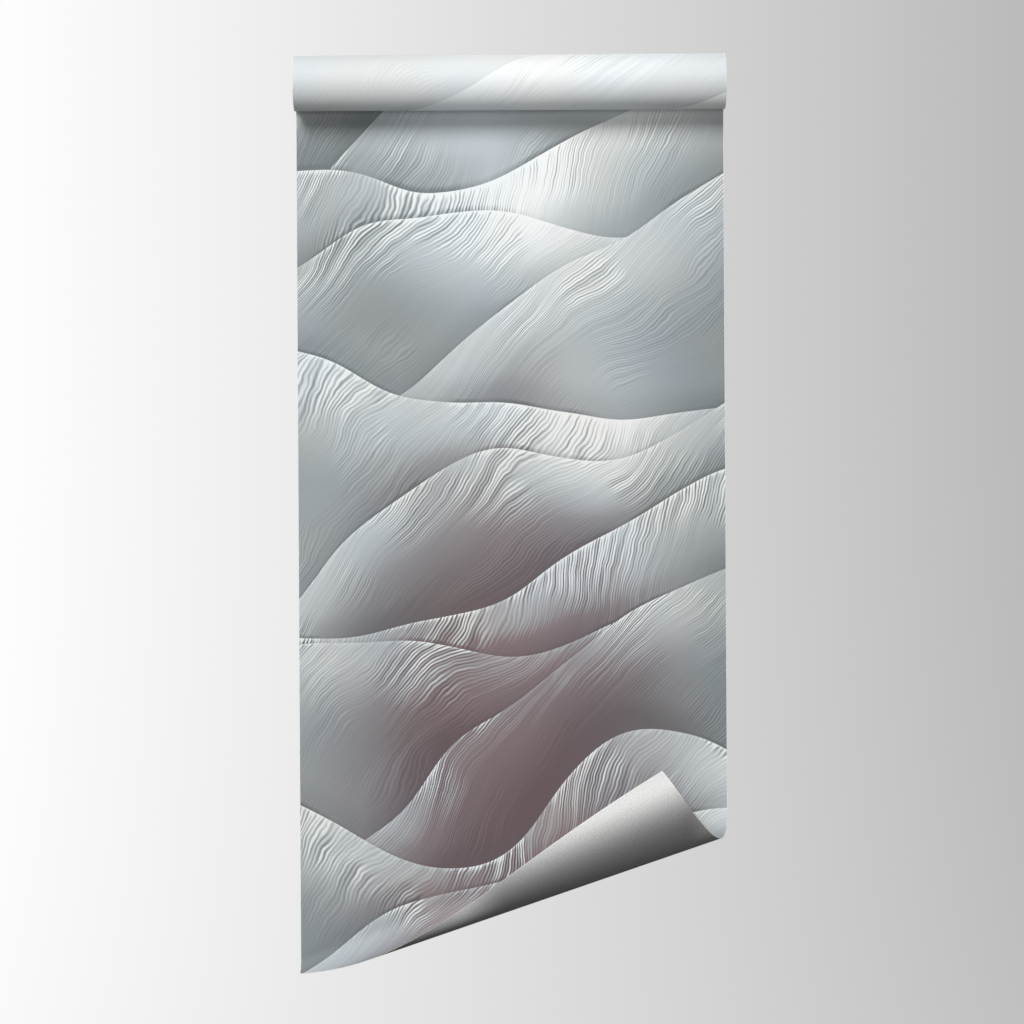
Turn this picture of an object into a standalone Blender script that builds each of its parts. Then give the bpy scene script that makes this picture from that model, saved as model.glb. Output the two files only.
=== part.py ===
"""Wallpaper roll, partly unrolled, with its lower right corner curled up.

One strip of paper is wound into a roll with an open eye. Its free length leaves the roll underneath,
turns back to the wall in an S-bend, hangs flat and ends in a corner that is curled towards the room.

+X is to the right, +Z is up and the room is on the -Y side. The back of the hanging length lies in the
plane y = 0, and the origin is the middle of the hanging length, on its back.
"""

from math import atan2, cos, pi, sin, sqrt

import bmesh
import bpy
from mathutils import Matrix, Vector

# The strip, in metres
STRIP_WIDTH = 0.53
STRIP_LENGTH = 10.05
PAPER = 0.0003
HANGING_LENGTH = 1.067

# The roll, and the S-bend between it and the hanging length
ROLL_DIAMETER = 0.068
ROLL_TO_WALL = 0.0003
BEND_RADIUS = 0.012

# The curled corner: it starts on a straight line across the strip, given by its height above the bottom
# edge at each side. All its straight lines meet in one apex, this far to the left of the strip.
CURL_START_LEFT = 0.0224
CURL_START_RIGHT = 0.2187
CURL_APEX_LEFT = 1.06
CURL_RADIUS_START = 0.0402
CURL_RADIUS_TIP = 0.0722

# How finely the solid is faceted
COLUMNS = 12
FLAT_ROWS = 4
BEND_STEPS = 12
ROLL_STEPS = 64
CURL_ROWS_AT_LEFT_EDGE = 6
CURL_ROWS_AT_BOTTOM_EDGE = 30
JOIN_ABOVE_CURL = 0.03

PAPER_COLOUR = (0.42, 0.45, 0.46, 1.0)
PAPER_ROUGHNESS = 0.6

# Centres and angles of the roll and of the bend, outwards from the wall and upwards from the bottom edge
ROLL_RADIUS = ROLL_DIAMETER / 2
ROLL_OUT = ROLL_RADIUS + ROLL_TO_WALL
ROLL_UP = HANGING_LENGTH + ROLL_RADIUS
BEND_OUT = PAPER / 2 + BEND_RADIUS
BEND_TO_ROLL = ROLL_RADIUS - PAPER / 2 + BEND_RADIUS
BEND_UP = ROLL_UP - sqrt(BEND_TO_ROLL**2 - (ROLL_OUT - BEND_OUT) ** 2)
CONTACT_ANGLE = atan2(ROLL_UP - BEND_UP, ROLL_OUT - BEND_OUT)
BEND_TURN = pi - CONTACT_ANGLE

# The paper still wound up fills the ring between the roll's outside and its eye
WOUND_LENGTH = STRIP_LENGTH - BEND_UP - BEND_RADIUS * BEND_TURN
EYE_RADIUS = sqrt(ROLL_RADIUS**2 - WOUND_LENGTH * PAPER / pi)

# The curl's apex and angles, on the flat strip
CURL_SLOPE = (CURL_START_RIGHT - CURL_START_LEFT) / STRIP_WIDTH
APEX = (-CURL_APEX_LEFT, CURL_START_LEFT - CURL_APEX_LEFT * CURL_SLOPE)
START_ANGLE = atan2(CURL_SLOPE, 1)
CORNER_ANGLE = atan2(-APEX[1], -APEX[0])
TIP_ANGLE = atan2(-APEX[1], STRIP_WIDTH - APEX[0])


def world(across, out, up):
    """A point given from the strip's left edge, from the wall and from the bottom edge."""
    return Vector((across - STRIP_WIDTH / 2, -out, up - HANGING_LENGTH / 2))


def roll_point(angle, radius):
    """A point of the roll's section; the angle runs from its back, under it and up its front."""
    return ROLL_OUT - radius * cos(angle), ROLL_UP - radius * sin(angle)


def bend_point(angle, radius):
    """A point of the S-bend's section; the angle runs from the wall over the top of the bend."""
    return BEND_OUT - radius * cos(angle), BEND_UP + radius * sin(angle)


def free_section(join_height):
    """Front and back points (out, up) of the free length, from the join up to just short of the roll."""
    front, back = [], []
    for i in range(FLAT_ROWS):
        height = join_height + (BEND_UP - join_height) * i / FLAT_ROWS
        front.append((PAPER, height))
        back.append((0.0, height))
    for i in range(BEND_STEPS):
        angle = BEND_TURN * i / BEND_STEPS
        front.append(bend_point(angle, BEND_RADIUS - PAPER / 2))
        back.append(bend_point(angle, BEND_RADIUS + PAPER / 2))
    return front, back


def roll_section():
    """The roll's outside, one full turn that shrinks by one layer of paper, and its eye."""
    outside, eye = [], []
    for i in range(ROLL_STEPS + 1):
        turn = i / ROLL_STEPS
        outside.append(roll_point(CONTACT_ANGLE + 2 * pi * turn, ROLL_RADIUS - PAPER * turn))
    for i in range(ROLL_STEPS):
        eye.append(roll_point(CONTACT_ANGLE + 2 * pi * i / ROLL_STEPS, EYE_RADIUS))
    return outside, eye


def curl_angles():
    """Angles of the curl's straight lines on the flat strip, from its start down to the corner's tip."""
    angles = [
        START_ANGLE + (CORNER_ANGLE - START_ANGLE) * i / CURL_ROWS_AT_LEFT_EDGE
        for i in range(CURL_ROWS_AT_LEFT_EDGE)
    ]
    angles += [
        CORNER_ANGLE + (TIP_ANGLE - CORNER_ANGLE) * i / CURL_ROWS_AT_BOTTOM_EDGE
        for i in range(CURL_ROWS_AT_BOTTOM_EDGE + 1)
    ]
    return angles


def distances_from_apex(angle):
    """Where a straight line of the curl enters the strip and where it leaves it at the right edge."""
    to_left_edge = -APEX[0] / cos(angle)
    to_bottom_edge = -APEX[1] / sin(angle)
    return max(to_left_edge, to_bottom_edge), (STRIP_WIDTH - APEX[0]) / cos(angle)


def curl_rows():
    """Front and back points of the curl, one row for each of its straight lines.

    A frame of three directions goes with the line: along it, across it on the paper, and out of the
    printed face. From one line to the next the frame turns by their angle about the paper's normal,
    and about the line itself by that angle times the bend, the distance from the apex over the
    radius of the curl there.
    """
    bend_at_start = distances_from_apex(START_ANGLE)[1] / CURL_RADIUS_START
    bend_at_tip = distances_from_apex(TIP_ANGLE)[1] / CURL_RADIUS_TIP
    apex = world(APEX[0], 0, APEX[1])
    along = Vector((cos(START_ANGLE), 0, sin(START_ANGLE)))
    outward = Vector((0, -1, 0))
    rows = []
    angles = curl_angles()
    for i, angle in enumerate(angles):
        if i:
            step = angles[i - 1] - angle
            done = (START_ANGLE - angle - step / 2) / (START_ANGLE - TIP_ANGLE)
            bend = bend_at_start + (bend_at_tip - bend_at_start) * done
            axis = outward + bend * along
            turn = Matrix.Rotation(-step * axis.length, 3, axis)
            along, outward = turn @ along, turn @ outward
        near, far = distances_from_apex(angle)
        columns = 1 if angle == TIP_ANGLE else COLUMNS + 1
        back = [apex + along * (near + (far - near) * j / COLUMNS) for j in range(columns)]
        rows.append(([p + outward * PAPER for p in back], back))
    return rows


def across_strip(section_point):
    """One section point (out, up) carried across the strip as a row."""
    return [world(STRIP_WIDTH * j / COLUMNS, *section_point) for j in range(COLUMNS + 1)]


def add_row(bm, points):
    """A row of points as a row of mesh vertices."""
    return [bm.verts.new(point) for point in points]


def skin(bm, row_a, row_b):
    """Faces between two neighbouring rows; a row of one vertex is the tip of a fan."""
    for j in range(COLUMNS):
        corners = [row_a[j], row_a[j + 1]]
        corners += [row_b[0]] if len(row_b) == 1 else [row_b[j + 1], row_b[j]]
        bm.faces.new(corners)


def add_free_length(bm, rows):
    """The two faces of the free length between its rows, and the cut edges along its sides."""
    for lower, upper in zip(rows, rows[1:]):
        for face in (0, 1):
            skin(bm, upper[face], lower[face])
        for side in (0, -1):
            bm.faces.new((lower[0][side], lower[1][side], upper[1][side], upper[0][side]))


def add_roll_end(bm, outside, eye):
    """The ring at one end of the roll; it starts with the step of one layer where the paper leaves."""
    last = outside[-1]
    bm.faces.new((eye[0], last, eye[1]))
    bm.faces.new((last, outside[0], outside[1]))
    bm.faces.new((last, outside[1], eye[1]))
    for i in range(1, ROLL_STEPS):
        following = (i + 1) % ROLL_STEPS
        bm.faces.new((outside[i], outside[i + 1], eye[following], eye[i]))


def strip_mesh():
    """The whole strip as one closed mesh: curl, hanging length, S-bend and wound roll."""
    bm = bmesh.new()
    outside_points, eye_points = roll_section()
    outside = [add_row(bm, across_strip(point)) for point in outside_points]
    eye = [add_row(bm, across_strip(point)) for point in eye_points]

    section = free_section(CURL_START_RIGHT + JOIN_ABOVE_CURL)
    flat_and_bend = [(across_strip(front), across_strip(back)) for front, back in zip(*section)]
    free_length = [
        (add_row(bm, front), add_row(bm, back)) for front, back in curl_rows()[::-1] + flat_and_bend
    ]
    free_length.append((outside[0], outside[-1]))

    add_free_length(bm, free_length)
    for row, following in zip(outside, outside[1:]):
        skin(bm, row, following)
    for row, following in zip(eye, eye[1:] + eye[:1]):
        skin(bm, row, following)
    for side in (0, -1):
        add_roll_end(bm, [row[side] for row in outside], [row[side] for row in eye])

    bmesh.ops.recalc_face_normals(bm, faces=bm.faces)
    mesh = bpy.data.meshes.new("wallpaper_strip")
    bm.to_mesh(mesh)
    bm.free()
    return mesh


def paper_material():
    """Matt printed paper, pale blue-grey."""
    material = bpy.data.materials.new("printed_paper")
    material.use_nodes = True
    shader = material.node_tree.nodes["Principled BSDF"]
    shader.inputs["Base Color"].default_value = PAPER_COLOUR
    shader.inputs["Roughness"].default_value = PAPER_ROUGHNESS
    shader.inputs["Metallic"].default_value = 0.0
    return material


def main():
    for leftover in list(bpy.data.objects):
        bpy.data.objects.remove(leftover, do_unlink=True)
    collection = bpy.data.collections.new("wallpaper_roll")
    bpy.context.scene.collection.children.link(collection)

    mesh = strip_mesh()
    mesh.materials.append(paper_material())
    mesh.shade_smooth()
    mesh.set_sharp_from_angle(angle=pi / 6)
    strip = bpy.data.objects.new("wallpaper_strip", mesh)
    collection.objects.link(strip)


main()
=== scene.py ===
"""Looks of a wallpaper roll, partly unrolled: its printed face, its plain back, its cut edges and turns.

The strip is one sheet of paper. Every surface here is worked out on the flat strip, from how far across
and how far along it a point lies, and is then folded into place: the curled corner, the hanging length,
the S-bend under the roll and the turns of the roll.
"""

from math import atan2, cos, pi, radians, sin, sqrt

import bpy
import numpy as np
from bpy.props import FloatProperty, IntProperty, PointerProperty, StringProperty
from bpy.types import Operator, Panel, PropertyGroup
from mathutils import Euler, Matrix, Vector


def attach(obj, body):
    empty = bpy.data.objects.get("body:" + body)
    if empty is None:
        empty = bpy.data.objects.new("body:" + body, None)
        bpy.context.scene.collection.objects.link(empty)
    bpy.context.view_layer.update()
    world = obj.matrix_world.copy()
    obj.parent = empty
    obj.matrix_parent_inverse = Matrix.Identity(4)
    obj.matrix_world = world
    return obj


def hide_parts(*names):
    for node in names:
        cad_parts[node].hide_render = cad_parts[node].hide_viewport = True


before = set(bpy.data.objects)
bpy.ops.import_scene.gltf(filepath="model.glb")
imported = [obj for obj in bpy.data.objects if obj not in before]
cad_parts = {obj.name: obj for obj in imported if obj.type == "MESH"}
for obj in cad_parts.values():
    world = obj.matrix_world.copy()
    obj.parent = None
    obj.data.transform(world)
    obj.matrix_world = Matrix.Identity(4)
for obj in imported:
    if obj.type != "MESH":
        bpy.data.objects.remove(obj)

bl_info = {
    "name": "Wallpaper Roll",
    "version": (1, 0, 0),
    "blender": (4, 5, 0),
    "location": "3D View > Sidebar > Wallpaper",
    "description": "A printed wallpaper, partly unrolled, with its lower corner curled up",
    "category": "Add Mesh",
}

STRIP_MAP = "flat strip in metres"
MILLIMETRE = 0.001

# How finely the strip is drawn, as rows along it: the curl below and above the strip's lower left corner,
# the hanging length and the S-bend. The curl's straight lines are worked out in many more steps.
ROWS_BELOW_CORNER = 84
ROWS_ABOVE_CORNER = 14
FLAT_ROWS = 56
BEND_ROWS = 28
CURL_STEPS = 240
SHARP_ANGLE = radians(40)

# The slow waves of the hanging length: how long each is across and along the strip, and where it starts
LIFT_WAVES = ((0.41, 0.83, 0.0), (0.27, -0.57, 1.3))

# How the turns stand out of line at the roll's ends: sines of the turn's number, each with its share, its
# step from turn to turn and its start. The turns are drawn a little thinner than the paper is, so that
# each one shows by itself.
SLIP_WAVES = ((1.0, 0.83, 0.0), (0.6, 2.31, 1.0))
TURN_THICKNESS = 0.8

# The print's waves, in metres on the flat strip: how many there are, the first one's height and the way
# down from each to the next. A slow drift of the whole print moves them by up to half of DRIFT.
WAVES = 15
WAVE_TOP = 1.46
WAVE_SPACING = 0.104
DRIFT = (0.10, 0.15, 0.0)
DRIFT_SIZE = 0.3125

# The waves differ by sines of their number: the middle value, the swing about it, the step from wave to
# wave and the start. Their phases and their own numbers differ by the golden section.
WAVE_SLOPES = (0.34, 0.30, 2.4, 0.4)
WAVE_HEIGHTS = (0.040, 0.016, 1.7, 0.0)
WAVE_LENGTHS = (0.74, 0.22, 2.9, 1.0)
GOLDEN = 0.618
NUMBER_START = 0.3

# The combed lines: how far apart and how long they are, the least angle between them and the strip's
# length, and how far they bend over what distance, once slowly and once finely
HAIR_PITCH = 0.0030
HAIR_LENGTH = 0.07
TOOTH_PITCH = 0.0042
LEAST_ANGLE = 0.35
SLOW_BEND = 0.05
SLOW_BEND_SIZE = 0.12
FINE_BEND = 0.006
FINE_BEND_SIZE = 0.022
STREAK_SHARE = 0.60

# How one value of the print follows another: the first one's range, then what the second one is at its
# two ends. Distances are in metres. Tones run from 0 for the deepest ink to 1 for the palest.
STREAKS = (0.33, 0.67, -1.0, 1.0)  # combed lines, from noise
TEETH = (-0.8, 0.6, -0.75, 0.65)  # combed lines, from a sine; this sharpens it
PATCHES = (0.42, 0.62, 0.07, 0.46)  # strength of the combed lines, from noise
FADING = (0.004, 0.11, 1.0, 0.24)  # strength of the combed lines, from how far below the edge
BODY = (0.0, 0.15, 0.62, 0.20)  # tone of a wave, from how far below its edge
SHADE = (0.0, 0.05, -0.10, 0.0)  # change of tone, from how far above the next wave
CONTACT = (0.0, 0.007, -0.9, 0.0)  # the dark line right above the next wave
PATCH_SIZE = 0.11
RIM_WIDTH = 0.007
RIM_FRAY = 0.004
OWN_TONE = 0.14

# The print's broad light and dark fields: centre on the flat strip in metres, how much they are squashed
# along it, inner and outer radius, and the change of tone
TONE_FIELDS = (
    ((0.33, 0.80), 0.60, 0.02, 0.30, 0.24),
    ((0.20, 1.00), 0.80, 0.02, 0.14, 0.18),
    ((0.08, 0.93), 0.90, 0.03, 0.15, -0.12),
    ((0.02, 0.62), 0.50, 0.03, 0.16, 0.16),
    ((0.50, 0.61), 0.90, 0.03, 0.15, -0.14),
    ((0.04, 0.24), 0.70, 0.03, 0.17, 0.16),
    ((0.52, 0.19), 0.70, 0.02, 0.10, 0.20),
    ((0.27, 1.02), 0.80, 0.02, 0.13, 0.22),
    ((0.38, 0.72), 0.80, 0.02, 0.14, 0.18),
    ((0.44, 0.41), 0.80, 0.02, 0.13, 0.14),
)

# The mauve field, given the same way, and the change of tone there
BLUSH = ((0.26, 0.24), 0.46, 0.06, 0.30)
BLUSH_TONE = -0.16

# The roll's outside shows the print painted paler, a painted highlight for the strong light on the roll:
# where that begins and ends along the strip, the pale tone and how far the print goes towards it
ROLL_HIGHLIGHT_SPAN = (1.03, 1.10)
ROLL_HIGHLIGHT_TONE = 1.11
ROLL_HIGHLIGHT_SHARE = 0.68

# Where the four inks lie on the scale of tones, and the faint cool and warm cast, which follows noise
INK_TONES = (0.0, 0.36, 0.70, 1.0)
CAST_PLACES = (0.36, 0.64)
CAST_SIZE = 0.14

# How strongly paper bends light, and how far its pale core shows at a cut edge: on the printed face as
# far as the paper is thick, on the back more, because its fibres fray
PAPER_IOR = 1.46
FACE_CORE = 0.3 * MILLIMETRE
BACK_CORE = 0.9 * MILLIMETRE

# Sizes of the grains, and how dark and how light they get as shares of the material's colour
VINYL_GRAIN = 1.6 * MILLIMETRE
FIBRE_CLUMP = 2.0 * MILLIMETRE
FIBRE_SHARES = (0.80, 1.09)
# The rings on the roll's ends mark the turns; their darker share is painted shade in the gaps between them
RING_WIDTH = 1.7 * MILLIMETRE
RING_GAP_SHADE = 0.55
RELIEF_DEPTH = 0.1 * MILLIMETRE

# The studio sweep: its corner and its height as shares of its radius, its hub, and its faces. Its glow of
# painted light fades over this far to the left and right of the middle.
SWEEP_CORNER = 0.3
SWEEP_HEIGHT = 1.1
SWEEP_HUB = 0.05
SWEEP_FLOOR_RINGS = 8
SWEEP_CORNER_RINGS = 17
SWEEP_SIDES = 96
WASH_REACH = 1.7

# Black cards that keep light off the curl: one lies under the strip, one hangs in front of the curl's
# lower half
CARD_UNDER = ((-1.2, -1.4, -0.6), (1.2, -1.4, -0.6), (1.2, 0.6, -0.6), (-1.2, 0.6, -0.6))
CARD_IN_FRONT = (
    (-0.091, -0.273, -0.538), (0.190, -0.288, -0.409), (0.215, -0.194, -0.234), (-0.066, -0.179, -0.364)
)

# The lamps: name, kind, place, what it faces, strength, and how wide or soft it is
MIDDLE = (0.0, 0.0, 0.0)
ROLL_MIDDLE = (0.0, 0.0, 0.6)
LAMPS = (
    ("key_light", "SUN", (-1.7, -6.3, 3.64), MIDDLE, 2.36, {"angle": radians(24)}),
    ("back_light", "SUN", (2.2, 5.0, 3.0), MIDDLE, 1.5, {"angle": radians(25)}),
    (
        "roll_fill", "SPOT", (0.3, -4.5, 0.42), ROLL_MIDDLE, 152.0,
        {"spot_size": radians(13), "spot_blend": 1.0, "shadow_soft_size": 0.4},
    ),
)
AIR_STRENGTH = 0.30
SENSOR_WIDTH = 36.0


def size(name, description, default):
    """A length that a user would change."""
    return FloatProperty(name=name, description=description, default=default, unit="LENGTH", precision=4)


def paint(name, description, default):
    """A colour that a user would change, as sRGB hex."""
    return StringProperty(name=name, description=description, default=default)


class StripSizes(PropertyGroup):
    """The driving sizes of the strip, as in the solid model."""

    width: size("Width", "Width of the strip", 0.53)
    length: size("Length", "Length of paper on the roll, unrolled or not", 10.05)
    paper: size("Paper", "Thickness of the paper", 0.0003)
    hanging: size("Hanging length", "Paper below the roll, measured flat", 1.067)
    roll_diameter: size("Roll", "Outside diameter of the roll", 0.068)
    roll_to_wall: size("Wall gap", "Gap between the roll and the wall", 0.0003)
    bend_radius: size("Bend", "Radius of the S-bend under the roll", 0.012)
    curl_start_left: size("Curl start left", "Height where the curl starts at the left edge", 0.0224)
    curl_start_right: size("Curl start right", "Height where it starts at the right edge", 0.2187)
    curl_apex_left: size("Curl apex", "How far left of the strip the curl's lines meet", 1.06)
    curl_radius_start: size("Curl start radius", "Radius at the right edge where it starts", 0.0402)
    curl_radius_tip: size("Curl tip radius", "Radius of the curl at the corner's tip", 0.0722)
    waviness: size("Waviness", "How far the hanging length lifts off the wall", 0.0009)
    slip: size("Slip", "How far the turns stand out of line at the roll's ends", 0.0005)
    columns: IntProperty(name="Columns", description="Faces across the strip", default=32, min=2)
    turn_steps: IntProperty(name="Turn steps", description="Faces round one turn", default=72, min=12)


class PrintColours(PropertyGroup):
    """The colours of the print, of the backing and of the cut edges."""

    deep: paint("Deep grey", "The print where a wave lies in shade", "#747C7F")
    silver: paint("Silver", "The body of a wave", "#A3AAAE")
    pale: paint("Pale", "The light side of a wave", "#CDD3D6")
    ridge: paint("Ridge", "The edge of a wave", "#F8FAFB")
    mauve_deep: paint("Deep mauve", "The mauve waves in shade", "#6C5C60")
    mauve: paint("Mauve", "The body of the mauve waves", "#8B7B7E")
    cool_cast: paint("Cool cast", "A faint cast over parts of the print", "#F7FAFC")
    warm_cast: paint("Warm cast", "A faint cast over the other parts", "#FDFBF7")
    backing: paint("Backing", "The plain back of the paper", "#EBEBEA")
    core: paint("Core", "The cut edge of the paper", "#F4F2EF")


class StageLook(PropertyGroup):
    """The camera and the plain studio."""

    camera_distance: size("Camera distance", "From the wall to the camera", 4.2)
    camera_height: size("Camera height", "Above the middle of the hanging length", 0.0387)
    view_width: size("View width", "What the camera sees at the wall, from side to side", 1.2707)
    camera_roll: FloatProperty(
        name="Camera roll",
        description="How far the camera is turned",
        default=radians(-0.33),
        subtype="ANGLE",
    )
    floor_below: size("Floor", "How far the floor lies below the origin", 1.5)
    sweep_radius: size("Sweep", "Radius of the round backdrop", 7.5)
    backdrop_left: paint("Backdrop left", "The light side of the backdrop", "#FDFDFD")
    backdrop_middle: paint("Backdrop middle", "The middle of the backdrop", "#DEDEDE")
    backdrop_right: paint("Backdrop right", "The shaded side of the backdrop", "#BBBBBB")


class Fold:
    """Where the strip lies: the derived sizes, and the way from the flat strip into space."""

    def __init__(self, sizes):
        self.sizes = sizes
        roll_radius = sizes.roll_diameter / 2
        self.roll_radius = roll_radius
        self.roll_out = roll_radius + sizes.roll_to_wall
        self.roll_up = sizes.hanging + roll_radius
        self.bend_out = sizes.paper / 2 + sizes.bend_radius
        centres = roll_radius - sizes.paper / 2 + sizes.bend_radius
        self.bend_up = self.roll_up - sqrt(centres**2 - (self.roll_out - self.bend_out) ** 2)
        self.contact = atan2(self.roll_up - self.bend_up, self.roll_out - self.bend_out)
        self.bend_turn = pi - self.contact
        self.contact_along = self.bend_up + sizes.bend_radius * self.bend_turn

        slope = (sizes.curl_start_right - sizes.curl_start_left) / sizes.width
        self.apex = np.array(
            (-sizes.curl_apex_left, sizes.curl_start_left - sizes.curl_apex_left * slope)
        )
        self.start_angle = atan2(slope, 1)
        self.corner_angle = atan2(-self.apex[1], -self.apex[0])
        self.tip_angle = atan2(-self.apex[1], sizes.width - self.apex[0])
        self.fan, self.lines, self.outwards = self.curl_frames(CURL_STEPS)

    def world(self, across, out, up):
        """Points given from the strip's left edge, from the wall and from its bottom edge."""
        return np.stack(
            np.broadcast_arrays(across - self.sizes.width / 2, -out, up - self.sizes.hanging / 2), axis=-1
        )

    def curl_frames(self, steps):
        """The curl's straight lines and the paper's normals along them, against the angle in the fan.

        All the lines start at the apex. From one line to the next the paper turns by their angle about
        its own normal, and about the line by that angle times the bend, which is the distance from the
        apex over the radius of the curl there.
        """
        sizes = self.sizes
        to_right_edge = sizes.width - self.apex[0]
        bend_at_start = to_right_edge / cos(self.start_angle) / sizes.curl_radius_start
        bend_at_tip = to_right_edge / cos(self.tip_angle) / sizes.curl_radius_tip
        fan = np.linspace(0, self.start_angle - self.tip_angle, steps + 1)
        bends = bend_at_start + (bend_at_tip - bend_at_start) * (np.arange(steps) + 0.5) / steps
        frame_now = np.array([[cos(self.start_angle), 0, sin(self.start_angle)], [0, -1, 0]], float)
        frames = [frame_now]
        for bend in bends:
            axis = frame_now[1] + bend * frame_now[0]
            length = np.linalg.norm(axis)
            axis /= length
            turn = -fan[1] * length
            frame_now = (
                frame_now * cos(turn)
                + np.cross(axis, frame_now) * sin(turn)
                + np.outer(frame_now @ axis, axis) * (1 - cos(turn))
            )
            frames.append(frame_now)
        frames = np.array(frames)
        return fan, frames[:, 0], frames[:, 1]

    def between_lines(self, angle, values):
        """Unit vectors of the curl read between its lines, for whole arrays of angles."""
        read = np.stack([np.interp(angle, self.fan, values[:, i]) for i in range(3)], axis=-1)
        return read / np.linalg.norm(read, axis=-1, keepdims=True)

    def curled(self, across, along):
        """The curled corner: distance from the apex along the line that the flat point lies on."""
        from_apex = np.stack((across - self.apex[0], along - self.apex[1]), axis=-1)
        angle = self.start_angle - np.arctan2(from_apex[..., 1], from_apex[..., 0])
        distance = np.linalg.norm(from_apex, axis=-1)[..., None]
        apex = self.world(self.apex[0], 0.0, self.apex[1])
        points = apex + distance * self.between_lines(angle, self.lines)
        return points, self.between_lines(angle, self.outwards)

    def hanging(self, across, along):
        """The flat length against the wall, lifted off it by slow waves that die out at its ends."""
        sizes = self.sizes
        rise = sizes.curl_start_right - sizes.curl_start_left
        curl_line = sizes.curl_start_left + rise * across / sizes.width
        share = np.clip((along - curl_line) / (self.bend_up - curl_line), 0, 1)
        calm = np.sin(pi * share) ** 2
        wave = 0.5
        for wide, long, start in LIFT_WAVES:
            wave = wave + 0.25 * np.sin(2 * pi * (across / wide + along / long) + start)
        points = self.world(across, sizes.waviness * calm * wave, along)
        return points, np.broadcast_to((0.0, -1.0, 0.0), points.shape)

    def bent(self, across, along):
        """The S-bend: an arc over its centre, printed face inside, from the wall to the roll."""
        angle = (along - self.bend_up) / self.sizes.bend_radius
        radius = self.sizes.bend_radius + self.sizes.paper / 2
        out = self.bend_out - radius * np.cos(angle)
        up = self.bend_up + radius * np.sin(angle)
        normals = np.broadcast_arrays(0.0 * across, -np.cos(angle), -np.sin(angle))
        return self.world(across, out, up), np.stack(normals, axis=-1)

    def along_at(self, turned):
        """How far along the strip the paper is once it has turned by an angle since it met the roll.

        The spiral loses one paper's thickness a turn, so the length wound is radius times angle less
        thickness times angle squared over four pi.
        """
        radius = self.roll_radius - self.sizes.paper / 2
        return self.contact_along + radius * turned - self.sizes.paper * turned**2 / (4 * pi)

    def turned_at(self, along):
        """The angle turned since the paper met the roll, from how far along the strip it is."""
        radius = self.roll_radius - self.sizes.paper / 2
        pitch = self.sizes.paper
        return (radius - np.sqrt(radius**2 - pitch * (along - self.contact_along) / pi)) * 2 * pi / pitch

    def wound(self, across, along):
        """The turns of the roll: a spiral of the paper's own thickness, printed face outside."""
        turned = self.turned_at(along)
        angle = self.contact + turned
        radius = self.roll_radius - self.sizes.paper * (1 + turned / (2 * pi))
        out = self.roll_out - radius * np.cos(angle)
        up = self.roll_up - radius * np.sin(angle)
        normals = np.broadcast_arrays(0.0 * across, np.cos(angle), -np.sin(angle))
        return self.world(across, out, up), np.stack(normals, axis=-1)

    def slipped(self, turned):
        """How far a turn stands out of line at the roll's ends: a sum of sines, none at the outer turn."""
        turn = turned / (2 * pi) - 1
        waves = sum(share * np.sin(step * turn + start) for share, step, start in SLIP_WAVES)
        return self.sizes.slip * np.tanh(turn) * waves / sum(share for share, _, _ in SLIP_WAVES)


def curl_rows(fold):
    """The flat strip's curled corner as rows along its straight lines, from the tip upwards."""
    angles = np.concatenate(
        (
            np.linspace(fold.tip_angle, fold.corner_angle, ROWS_BELOW_CORNER, endpoint=False),
            np.linspace(fold.corner_angle, fold.start_angle, ROWS_ABOVE_CORNER),
        )
    )[:, None]
    near = np.maximum(-fold.apex[0] / np.cos(angles), -fold.apex[1] / np.sin(angles))
    far = (fold.sizes.width - fold.apex[0]) / np.cos(angles)
    distance = near + (far - near) * np.linspace(0, 1, fold.sizes.columns + 1)
    return fold.apex[0] + distance * np.cos(angles), fold.apex[1] + distance * np.sin(angles)


def rows_between(low, high, count):
    """Rows that run evenly from just above one row of heights to another."""
    share = np.linspace(0, 1, count + 1)[1:, None]
    return low + (high - low) * share


def paper_mesh(name, back, outwards, thickness, flat, pointed=False):
    """A closed sheet from rows of points on its back: the face lies one thickness out along the normals.

    Its slots are the printed face, the back and the cut edges. flat holds each point's place on the flat
    strip. Where the sheet is pointed, its first row is a single point.
    """
    rows, columns = back.shape[:2]
    number = np.arange(rows * columns).reshape(rows, columns)
    if pointed:
        number = np.maximum(number - (columns - 1), 0)
    count = number[-1, -1] + 1
    keep = np.unique(number, return_index=True)[1]

    def listed(values):
        return values.reshape(rows * columns, -1)[keep]

    face = listed(back + outwards * thickness)
    points = np.concatenate((face, listed(back)))
    first = 1 if pointed else 0
    cells = np.stack(
        (number[first:-1, :-1], number[first:-1, 1:], number[first + 1 :, 1:], number[first + 1 :, :-1]),
        axis=-1,
    ).reshape(-1, 4)
    rims = [number[:, 0], number[-1], number[::-1, -1]]
    if not pointed:
        rims.append(number[0, ::-1])
    edge = np.concatenate(
        [np.stack((rim[:-1], rim[1:], rim[1:] + count, rim[:-1] + count), -1) for rim in rims]
    )
    faces = [*cells.tolist(), *(cells[:, ::-1] + count).tolist(), *edge.tolist()]
    slots = [0] * len(cells) + [1] * len(cells) + [2] * len(edge)
    if pointed:
        fan = np.stack((np.zeros(columns - 1, int), number[1, 1:], number[1, :-1]), axis=-1)
        faces += [*fan.tolist(), *(fan[:, ::-1] + count).tolist()]
        slots += [0] * len(fan) + [1] * len(fan)

    mesh = bpy.data.meshes.new(name)
    mesh.from_pydata(points, [], faces)
    mesh.polygons.foreach_set("material_index", slots)
    corner_points = np.empty(len(mesh.loops), np.int32)
    mesh.loops.foreach_get("vertex_index", corner_points)
    flat = np.tile(listed(flat), (2, 1))
    layer = mesh.uv_layers.new(name=STRIP_MAP)
    layer.uv.foreach_set("vector", flat[corner_points].astype(np.float32).ravel())
    mesh.shade_smooth()
    mesh.set_sharp_from_angle(angle=SHARP_ANGLE)
    if mesh.validate():
        raise RuntimeError(f"{name}: the mesh has faces that Blender can't use")
    return mesh


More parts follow.
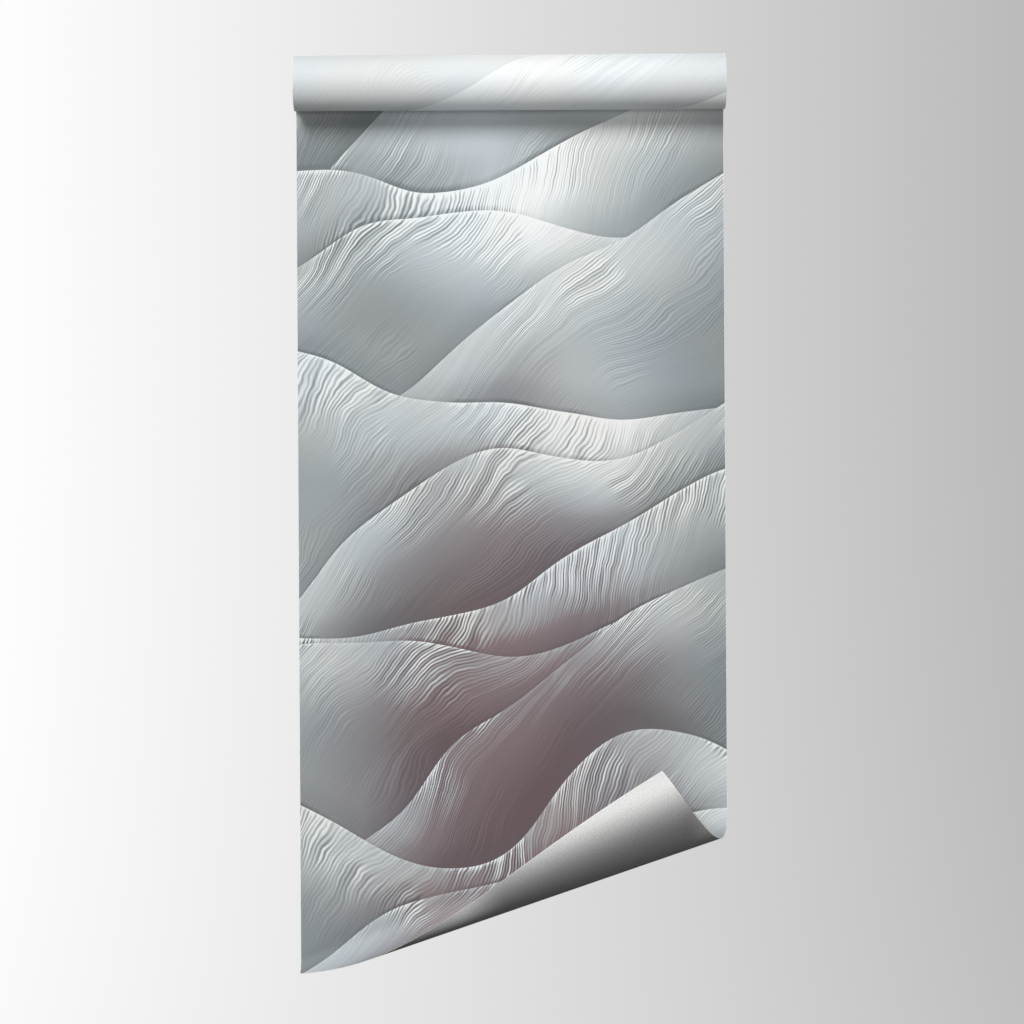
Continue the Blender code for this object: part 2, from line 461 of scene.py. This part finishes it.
def linear(colour, share=1.0):
    """An sRGB hex colour as linear red, green, blue and alpha, made darker or lighter by a share."""
    parts = [int(colour[i : i + 2], 16) / 255 for i in (1, 3, 5)]
    parts = [c / 12.92 if c <= 0.04045 else ((c + 0.055) / 1.055) ** 2.4 for c in parts]
    return [min(1.0, share * c) for c in parts] + [1.0]


def output_of(value):
    """A node's first output in use; anything else is given back as it is."""
    if isinstance(value, bpy.types.Node):
        return next(output for output in value.outputs if output.enabled)
    return value


def add(tree, kind, *values, stops=(), **settings):
    """Adds a node with its settings and links.

    The values go to its sockets in order. Each is a number, a vector, a colour, a socket, None to leave
    the socket as it is, or a node, which stands for its first output in use. Stops are a ramp's places
    and colours.
    """
    node = tree.nodes.new("ShaderNode" + kind)
    for setting, value in settings.items():
        setattr(node, setting, value)
    for socket, value in zip([socket for socket in node.inputs if socket.enabled], values):
        value = output_of(value)
        if isinstance(value, bpy.types.NodeSocket):
            tree.links.new(value, socket)
        elif value is not None:
            socket.default_value = value
    for i, (place, colour) in enumerate(stops):
        element = node.color_ramp.elements[i] if i < 2 else node.color_ramp.elements.new(place)
        element.position = place
        element.color = colour
    return node


def begin(name):
    """An empty node material and its tree."""
    made = bpy.data.materials.new(name)
    made.use_nodes = True
    return made, made.node_tree


def finish(made, colour, roughness, specular, height=None, relief=0.0):
    """Links a material's colour and its relief, and sets the values that are the same all over."""
    tree = made.node_tree
    shader = tree.nodes["Principled BSDF"]
    tree.links.new(output_of(colour), shader.inputs["Base Color"])
    shader.inputs["Roughness"].default_value = roughness
    shader.inputs["IOR"].default_value = PAPER_IOR
    shader.inputs["Specular IOR Level"].default_value = specular
    if height is not None:
        bump = add(tree, "Bump", relief, RELIEF_DEPTH)
        tree.links.new(output_of(height), bump.inputs["Height"])
        tree.links.new(bump.outputs["Normal"], shader.inputs["Normal"])
    return made


def varied(number, middle, swing, step, start):
    """A value that differs from wave to wave, by a sine of the wave's number."""
    return middle + swing * sin(step * number + start)


def wave_stack(tree, across, along, width):
    """Overlapping waves, each in front of those above it.

    A wave's edge is a sloping line plus a sine. Slopes, heights, lengths and phases differ from wave to
    wave by fixed steps, so no two edges are alike. Gives how far below its own wave's edge a point lies,
    how far above the next edge in front, and a number between 0 and 1 for its wave. Before the first
    wave these stand for a place far from any edge.
    """
    below, above, chosen = 0.2, 1.0, 0.5
    for i in range(WAVES):
        slope = varied(i, *WAVE_SLOPES)
        phase = (i * GOLDEN) % 1
        at_left_edge = WAVE_TOP - i * WAVE_SPACING - slope * width / 2
        turn = 2 * pi / varied(i, *WAVE_LENGTHS)
        angle = add(tree, "Math", across, turn, 2 * pi * phase, operation="MULTIPLY_ADD")
        line = add(tree, "Math", across, slope, at_left_edge, operation="MULTIPLY_ADD")
        wave = add(tree, "Math", angle, operation="SINE")
        edge = add(tree, "Math", wave, varied(i, *WAVE_HEIGHTS), line, operation="MULTIPLY_ADD")
        depth = add(tree, "Math", edge, along, operation="SUBTRACT")
        covers = add(tree, "Math", depth, 0.0, operation="GREATER_THAN")
        height = add(tree, "Math", depth, -1.0, operation="MULTIPLY")
        nearest = add(tree, "Math", above, height, operation="MINIMUM")
        above = add(tree, "Math", nearest, covers, operation="ADD")
        below = add(tree, "Mix", covers, below, depth)
        chosen = add(tree, "Mix", covers, chosen, (phase + NUMBER_START) % 1)
    return below, above, chosen


def combed(tree, place, across, below, chosen):
    """Fine combed lines, -1 to 1: across them the sum of a sine and of noise drawn out along them.

    Their direction is each wave's own, and they bend slowly and finely. The print's own finest lines
    would be too fine to show, so they are drawn 3 to 4 mm apart. Gives the noise alone as well.
    """
    turned = add(tree, "Math", chosen, 1.0, LEAST_ANGLE, operation="MULTIPLY_ADD")
    sine = add(tree, "Math", turned, operation="SINE")
    cosine = add(tree, "Math", turned, operation="COSINE")
    sideways = add(tree, "Math", across, sine, operation="MULTIPLY")
    comb = add(tree, "Math", below, cosine, sideways, operation="MULTIPLY_ADD")
    for bend, bend_size in ((SLOW_BEND, SLOW_BEND_SIZE), (FINE_BEND, FINE_BEND_SIZE)):
        noise = add(tree, "TexNoise", place, 1 / bend_size, 1.0)
        comb = add(tree, "Math", noise, bend, comb, operation="MULTIPLY_ADD")
    counted = add(tree, "Math", comb, 1 / HAIR_PITCH, operation="MULTIPLY")
    drawn_out = add(tree, "Math", below, 1 / HAIR_LENGTH, operation="MULTIPLY")
    apart = add(tree, "Math", chosen, 9.0, operation="MULTIPLY")
    hairs = add(tree, "TexNoise", add(tree, "CombineXYZ", counted, drawn_out, apart), 1.0, 1.0)
    streaks = add(tree, "MapRange", hairs, *STREAKS, interpolation_type="SMOOTHSTEP")
    turns = add(tree, "Math", comb, 2 * pi / TOOTH_PITCH, operation="MULTIPLY")
    teeth = add(tree, "Math", turns, operation="SINE")
    teeth = add(tree, "MapRange", teeth, *TEETH, interpolation_type="SMOOTHSTEP")
    return streaks, add(tree, "Math", streaks, STREAK_SHARE, teeth, operation="MULTIPLY_ADD")


def field(tree, place, centre, squash, inner, outer):
    """A soft round field: 1 inside the inner radius, easing to 0 at the outer one."""
    here = add(tree, "VectorMath", place, (*centre, 0.0), operation="SUBTRACT")
    here = add(tree, "VectorMath", here, (1.0, squash, 0.0), operation="MULTIPLY")
    reach = add(tree, "VectorMath", here, operation="LENGTH")
    return add(tree, "MapRange", reach, inner, outer, 1.0, 0.0, interpolation_type="SMOOTHSTEP")


def with_cut_edge(tree, place, colour, core, width, margin):
    """The colour, but the pale core along the strip's cut edges, as wide as the margin."""
    apart = add(tree, "SeparateXYZ", place)
    from_middle = add(tree, "Math", apart.outputs["X"], width / 2, operation="SUBTRACT")
    from_middle = add(tree, "Math", from_middle, operation="ABSOLUTE")
    from_side = add(tree, "Math", width / 2, from_middle, operation="SUBTRACT")
    inside = add(tree, "Math", from_side, apart.outputs["Y"], operation="MINIMUM")
    at_edge = add(tree, "Math", inside, margin, operation="LESS_THAN")
    return add(tree, "Mix", at_edge, colour, linear(core), data_type="RGBA")


def print_tone(tree, place, width):
    """The print's tone, 0 to 1, and where it is mauve, worked out from the place on the flat strip."""
    drift = add(tree, "TexNoise", place, 1 / DRIFT_SIZE, 1.0, 0.4).outputs["Color"]
    centred = add(tree, "VectorMath", drift, (0.5, 0.5, 0.5), operation="SUBTRACT")
    moved = add(tree, "VectorMath", centred, DRIFT, place, operation="MULTIPLY_ADD")
    apart = add(tree, "SeparateXYZ", moved)
    across, along = apart.outputs["X"], apart.outputs["Y"]
    below, above, chosen = wave_stack(tree, across, along, width)
    streaks, lines = combed(tree, place, across, below, chosen)

    patches = add(tree, "TexNoise", moved, 1 / PATCH_SIZE, 1.5)
    patchy = add(tree, "MapRange", patches, *PATCHES, interpolation_type="SMOOTHSTEP")
    fading = add(tree, "MapRange", below, *FADING, interpolation_type="SMOOTHSTEP")
    strength = add(tree, "Math", patchy, fading, operation="MULTIPLY")
    body = add(tree, "MapRange", below, *BODY, interpolation_type="SMOOTHSTEP")
    tone = add(tree, "Math", lines, strength, body, operation="MULTIPLY_ADD")

    rim = add(tree, "Math", streaks, RIM_FRAY, RIM_WIDTH, operation="MULTIPLY_ADD")
    bright = add(tree, "Math", below, rim, operation="DIVIDE")
    bright = add(tree, "MapRange", bright, 0.0, 1.0, 1.0, 0.0, interpolation_type="SMOOTHSTEP")
    bright = add(tree, "Math", bright, patchy, operation="MULTIPLY")
    shade = add(tree, "MapRange", above, *SHADE, interpolation_type="SMOOTHERSTEP")
    contact = add(tree, "MapRange", above, *CONTACT, interpolation_type="SMOOTHSTEP")
    shade = add(tree, "Math", contact, patchy, shade, operation="MULTIPLY_ADD")
    own = add(tree, "Math", chosen, OWN_TONE, -OWN_TONE / 2, operation="MULTIPLY_ADD")
    for part in (bright, shade, own):
        tone = add(tree, "Math", tone, part, operation="ADD")

    for *shape, change in TONE_FIELDS:
        tone = add(tree, "Math", field(tree, moved, *shape), change, tone, operation="MULTIPLY_ADD")
    blush = field(tree, moved, *BLUSH)
    tone = add(tree, "Math", blush, BLUSH_TONE, tone, operation="MULTIPLY_ADD")
    # Painted highlight: the print turns paler on the roll's outside, for the strong light on the roll
    wound = add(tree, "MapRange", along, *ROLL_HIGHLIGHT_SPAN, 0.0, ROLL_HIGHLIGHT_SHARE, interpolation_type="SMOOTHSTEP")
    return add(tree, "Mix", wound, tone, ROLL_HIGHLIGHT_TONE), blush


def printed_vinyl(colours, width):
    """Vinyl wallpaper face, gravure printed and lightly embossed: matt ink with a soft satin sheen.

    The print is a stack of silky waves, pale at their edges and darker towards the next wave, with fine
    combed lines that fan out from the edges in patches. It is mauve around the lower middle, and the ink
    has a faint cool cast in some places and a faint warm one in others.
    """
    made, tree = begin("gravure_printed_vinyl")
    place = add(tree, "UVMap", uv_map=STRIP_MAP)
    tone, blush = print_tone(tree, place, width)
    greys = (colours.deep, colours.silver, colours.pale, colours.ridge)
    mauves = (colours.mauve_deep, colours.mauve, colours.pale, colours.ridge)
    grey = add(tree, "ValToRGB", tone, stops=[(at, linear(c)) for at, c in zip(INK_TONES, greys)])
    warm = add(tree, "ValToRGB", tone, stops=[(at, linear(c)) for at, c in zip(INK_TONES, mauves)])
    ink = add(tree, "Mix", blush, grey, warm, data_type="RGBA")
    casts = zip(CAST_PLACES, (colours.cool_cast, colours.warm_cast))
    cast = add(tree, "TexNoise", place, 1 / CAST_SIZE, 1.0)
    tint = add(tree, "ValToRGB", cast, stops=[(at, linear(c)) for at, c in casts])
    ink = add(tree, "Mix", 1.0, ink, tint, data_type="RGBA", blend_type="MULTIPLY")
    shown = with_cut_edge(tree, place, ink, colours.core, width, FACE_CORE)
    grain = add(tree, "TexNoise", place, 1 / VINYL_GRAIN, 2.0)
    return finish(made, shown, roughness=0.58, specular=0.35, height=grain, relief=0.10)


def fibre_backing(colours, width):
    """Non-woven backing: pressed short fibres, quite matt, with a fine mottled grain.

    The real fibres are a few hundredths of a millimetre across, too fine to show, so the grain is drawn
    as clumps of about 2 mm.
    """
    made, tree = begin("non_woven_backing")
    place = add(tree, "UVMap", uv_map=STRIP_MAP)
    clumps = add(tree, "TexNoise", place, 1 / FIBRE_CLUMP, 3.0, 0.6)
    stops = [(at, linear(colours.backing, share)) for at, share in zip((0.30, 0.70), FIBRE_SHARES)]
    mottled = add(tree, "ValToRGB", clumps, stops=stops)
    shown = with_cut_edge(tree, place, mottled, colours.core, width, BACK_CORE)
    return finish(made, shown, roughness=0.85, specular=0.3, height=clumps, relief=0.25)


def cut_edge(colours, fold):
    """Paper cut by a blade: a white fibrous core; on the roll's ends the turns show as faint rings.

    The turns are 0.3 mm apart, too fine to show, so the rings are drawn about 1.7 mm wide. Their darker
    parts are painted shade in the gaps between the turns.
    """
    made, tree = begin("cut_paper_core")
    place = add(tree, "TexCoord").outputs["Object"]
    centre = fold.world(0.0, fold.roll_out, fold.roll_up)
    here = add(tree, "VectorMath", place, (0.0, *centre[1:]), operation="SUBTRACT")
    in_section = add(tree, "VectorMath", here, (0.0, 1.0, 1.0), operation="MULTIPLY")
    radius = add(tree, "VectorMath", in_section, operation="LENGTH")
    # Rings by radius mark the turns; the darker rings are painted shade in the gaps between the turns
    rings = add(tree, "TexNoise", radius, 1 / RING_WIDTH, 2.0, 0.6, noise_dimensions="1D")
    stops = [(0.36, linear(colours.core, RING_GAP_SHADE)), (0.58, linear(colours.core))]
    return finish(made, add(tree, "ValToRGB", rings, stops=stops), roughness=0.8, specular=0.3)


def show(name, mesh, materials):
    """Puts a finished mesh in the scene in place of the plain solid."""
    for made in materials:
        mesh.materials.append(made)
    piece = bpy.data.objects.new(name, mesh)
    bpy.context.scene.collection.objects.link(piece)
    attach(piece, "root")
    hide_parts("wallpaper_strip")


def paper_materials(context, fold):
    """The three materials of the strip, made once and shared by its pieces."""
    names = ("gravure_printed_vinyl", "non_woven_backing", "cut_paper_core")
    if all(name in bpy.data.materials for name in names):
        return [bpy.data.materials[name] for name in names]
    colours = context.scene.wallpaper_colours
    width = context.scene.wallpaper_sizes.width
    return [printed_vinyl(colours, width), fibre_backing(colours, width), cut_edge(colours, fold)]


class WALLPAPER_OT_strip(Operator):
    """Make the strip's free length: curled corner, hanging length, S-bend and the roll's outer turn"""

    bl_idname = "wallpaper.strip"
    bl_label = "Hanging Strip"

    def execute(self, context):
        sizes = context.scene.wallpaper_sizes
        fold = Fold(sizes)
        across, along = curl_rows(fold)
        level = np.linspace(0, sizes.width, sizes.columns + 1)
        flat = rows_between(along[-1], fold.bend_up + 0 * level, FLAT_ROWS)
        bend = rows_between(flat[-1], fold.contact_along + 0 * level, BEND_ROWS)
        one_turn = np.linspace(0, 2 * pi, sizes.turn_steps + 1)[1:, None]
        outer = fold.along_at(one_turn) + 0 * level
        parts = [
            (fold.curled, across, along),
            (fold.hanging, level + 0 * flat, flat),
            (fold.bent, level + 0 * bend, bend),
            (fold.wound, level + 0 * outer, outer),
        ]
        placed = [shape(x, s) for shape, x, s in parts]
        back = np.concatenate([points for points, _ in placed])
        outwards = np.concatenate([normals for _, normals in placed])
        flat_places = np.concatenate([np.stack((x, s), -1) for _, x, s in parts])
        mesh = paper_mesh("hanging_strip", back, outwards, sizes.paper, flat_places, pointed=True)
        show("hanging_strip", mesh, paper_materials(context, fold))
        return {"FINISHED"}


class WALLPAPER_OT_turns(Operator):
    """Make the turns of paper inside the roll, one spiral from the outer turn to the open eye"""

    bl_idname = "wallpaper.turns"
    bl_label = "Wound Turns"

    def execute(self, context):
        sizes = context.scene.wallpaper_sizes
        fold = Fold(sizes)
        last = float(fold.turned_at(np.array(sizes.length)))
        steps = round((last - 2 * pi) / (2 * pi) * sizes.turn_steps)
        turned = np.linspace(2 * pi, last, steps + 1)[:, None]
        across = np.array((0.0, sizes.width)) + 0 * turned
        along = fold.along_at(turned) + 0 * across
        back, outwards = fold.wound(across + fold.slipped(turned), along)
        back = back + outwards * sizes.paper * (1 - TURN_THICKNESS) / 2
        thickness = sizes.paper * TURN_THICKNESS
        mesh = paper_mesh("wound_turns", back, outwards, thickness, np.stack((across, along), -1))
        show("wound_turns", mesh, paper_materials(context, fold))
        return {"FINISHED"}


def backdrop(stage_look):
    """A round studio sweep: a flat floor that turns up into a wall, closed at its middle.

    Its profile is a flat disc, a quarter circle and an upright, each worked out from the sweep's radius;
    the profile is carried round in even steps.
    """
    radius = stage_look.sweep_radius
    corner = SWEEP_CORNER * radius
    quarter = np.linspace(0, pi / 2, SWEEP_CORNER_RINGS)
    floor = np.linspace(SWEEP_HUB, radius - corner, SWEEP_FLOOR_RINGS)
    profile_r = np.concatenate((floor, radius - corner + corner * np.sin(quarter), [radius]))
    profile_z = np.concatenate((0 * floor, corner * (1 - np.cos(quarter)), [SWEEP_HEIGHT * radius]))
    profile_z = profile_z - stage_look.floor_below
    around = 2 * pi * np.arange(SWEEP_SIDES)[:, None] / SWEEP_SIDES
    rim = np.broadcast_arrays(profile_r * np.cos(around), profile_r * np.sin(around), profile_z)
    steps = len(profile_r)
    number = np.arange(SWEEP_SIDES * steps).reshape(SWEEP_SIDES, steps)
    following = np.roll(number, -1, axis=0)
    cells = np.stack((number[:, :-1], number[:, 1:], following[:, 1:], following[:, :-1]), -1)
    hub = np.full(SWEEP_SIDES, SWEEP_SIDES * steps)
    fan = np.stack((hub, number[:, 0], following[:, 0]), -1)
    points = np.concatenate((np.stack(rim, -1).reshape(-1, 3), [[0.0, 0.0, -stage_look.floor_below]]))
    mesh = bpy.data.meshes.new("studio_sweep")
    mesh.from_pydata(points, [], cells.reshape(-1, 4).tolist() + fan.tolist())
    mesh.shade_smooth()
    return mesh


def sweep_glow(stage_look):
    """Matt black studio backdrop, glowing with painted light of its own that fades from left to right."""
    made, tree = begin("matt_studio_paint")
    place = add(tree, "TexCoord").outputs["Object"]
    sideways = add(tree, "SeparateXYZ", place).outputs["X"]
    share = add(tree, "MapRange", sideways, -WASH_REACH, WASH_REACH)
    colours = (stage_look.backdrop_left, stage_look.backdrop_middle, stage_look.backdrop_right)
    # Painted light: the sweep glows brighter on the left and darker on the right, as if lit from the left
    wash = add(tree, "ValToRGB", share, stops=[(i / 2, linear(c)) for i, c in enumerate(colours)])
    shader = tree.nodes["Principled BSDF"]
    shader.inputs["Base Color"].default_value = linear("#000000")
    shader.inputs["Roughness"].default_value = 1.0
    shader.inputs["Specular IOR Level"].default_value = 0.0
    shader.inputs["Emission Strength"].default_value = 1.0
    tree.links.new(wash.outputs["Color"], shader.inputs["Emission Color"])
    return made


def black_velvet():
    """Black cotton velvet, whose upright pile swallows nearly all light."""
    made, tree = begin("black_velvet")
    shader = tree.nodes["Principled BSDF"]
    shader.inputs["Base Color"].default_value = linear("#050505")
    shader.inputs["Roughness"].default_value = 1.0
    return made


def lamp(name, kind, place, aim, strength, settings):
    """A studio light of a kind at a place, turned to face a point."""
    light = bpy.data.lights.new(name, kind)
    light.energy = strength
    for setting, value in settings.items():
        setattr(light, setting, value)
    made = bpy.data.objects.new(name, light)
    made.location = place
    made.rotation_euler = (Vector(aim) - Vector(place)).to_track_quat("-Z", "Y").to_euler()
    bpy.context.scene.collection.objects.link(made)


def set_piece(name, mesh, material):
    """A piece of the studio in the scene, not of the object. Mirror-like surfaces don't show it."""
    mesh.materials.append(material)
    piece = bpy.data.objects.new(name, mesh)
    bpy.context.scene.collection.objects.link(piece)
    piece.visible_glossy = False
    return piece


def black_card(name, card_corners, material, dims_air):
    """A black card that the camera doesn't see; it stops the lamps, and the light of the air if asked."""
    mesh = bpy.data.meshes.new(name)
    mesh.from_pydata(card_corners, [], [(0, 1, 2, 3)])
    card = set_piece(name, mesh, material)
    card.visible_camera = False
    card.visible_diffuse = dims_air


class WALLPAPER_OT_stage(Operator):
    """Make the camera, the plain sweep and the soft studio light"""

    bl_idname = "wallpaper.stage"
    bl_label = "Studio"

    def execute(self, context):
        look = context.scene.wallpaper_stage
        scene = context.scene
        lens = bpy.data.cameras.new("camera")
        lens.sensor_width = SENSOR_WIDTH
        lens.lens = lens.sensor_width * look.camera_distance / look.view_width
        camera = bpy.data.objects.new("camera", lens)
        camera.location = (0.0, -look.camera_distance, look.camera_height)
        level = Euler((pi / 2, 0.0, 0.0)).to_matrix()
        roll = Euler((0.0, 0.0, look.camera_roll)).to_matrix()
        camera.rotation_euler = (level @ roll).to_euler()
        scene.collection.objects.link(camera)
        scene.camera = camera

        sweep = set_piece("studio_sweep", backdrop(look), sweep_glow(look))
        sweep.visible_diffuse = False
        sweep.visible_shadow = False
        velvet = black_velvet()
        black_card("card_under", CARD_UNDER, velvet, dims_air=True)
        black_card("card_in_front", CARD_IN_FRONT, velvet, dims_air=False)
        for values in LAMPS:
            lamp(*values)

        world = bpy.data.worlds.new("studio_air")
        world.use_nodes = True
        air = world.node_tree.nodes["Background"]
        air.inputs["Color"].default_value = linear("#FFFFFF")
        air.inputs["Strength"].default_value = AIR_STRENGTH
        scene.world = world
        scene.view_settings.view_transform = "Standard"
        return {"FINISHED"}


class WALLPAPER_PT_panel(Panel):
    """Lists the wallpaper's pieces and sizes"""

    bl_idname = "WALLPAPER_PT_panel"
    bl_label = "Wallpaper Roll"
    bl_space_type = "VIEW_3D"
    bl_region_type = "UI"
    bl_category = "Wallpaper"

    def draw(self, context):
        for operator in OPERATORS:
            self.layout.operator(operator.bl_idname)
        for name in GROUPS:
            group = getattr(context.scene, name)
            column = self.layout.column(align=True)
            for value in group.__annotations__:
                column.prop(group, value)


GROUPS = {"wallpaper_sizes": StripSizes, "wallpaper_colours": PrintColours, "wallpaper_stage": StageLook}
OPERATORS = (WALLPAPER_OT_stage, WALLPAPER_OT_strip, WALLPAPER_OT_turns)
CLASSES = (*GROUPS.values(), *OPERATORS, WALLPAPER_PT_panel)


def register():
    """Adds the classes to Blender, and the groups of settings to its scenes."""
    for kind in CLASSES:
        bpy.utils.register_class(kind)
    for name, group in GROUPS.items():
        setattr(bpy.types.Scene, name, PointerProperty(type=group))


def unregister():
    """Takes away what register added, in the reverse order."""
    for name in GROUPS:
        delattr(bpy.types.Scene, name)
    for kind in reversed(CLASSES):
        bpy.utils.unregister_class(kind)


def main():
    """Makes the studio and the pieces."""
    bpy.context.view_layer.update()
    register()
    bpy.ops.wallpaper.stage()
    bpy.ops.wallpaper.strip()
    bpy.ops.wallpaper.turns()


if __name__ == "__main__":
    main()
